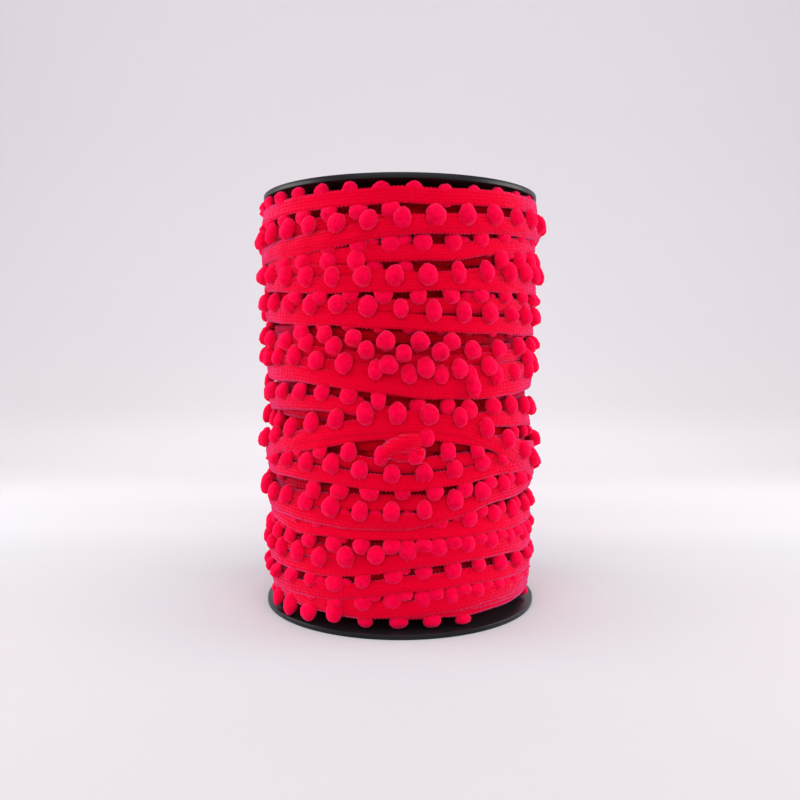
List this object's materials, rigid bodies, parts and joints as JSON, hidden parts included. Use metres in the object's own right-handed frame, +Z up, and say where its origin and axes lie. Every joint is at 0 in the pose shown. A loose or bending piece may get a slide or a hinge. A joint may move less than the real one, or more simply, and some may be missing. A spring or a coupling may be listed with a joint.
{
  "type": "roll of pompom trim",
  "caption": "Roll of narrow knitted tape with mini pompoms along one edge, wound in many turns on a thin-flanged plastic spool, as kept on a haberdashery shelf.",
  "frame": {"origin": "centre of the spool's lower face, which the roll stands on", "axes": "+Z up along the spool's axis, -Y towards the side that faces the viewer, +X to the viewer's right"},
  "size_m": [0.0891, 0.0886, 0.125],
  "materials": {
    "spool_plastic": "satin black moulded plastic",
    "wound_trim": "matte knitted tape and fluffy pompoms, in the shade of the outer turns",
    "outer_trim": "matte knitted tape and fluffy pompoms"
  },
  "bodies": {
    "root": {"spool": "spool_plastic", "wound_roll": "wound_trim", "outer_turns": "outer_trim"}
  },
  "joints": []
}
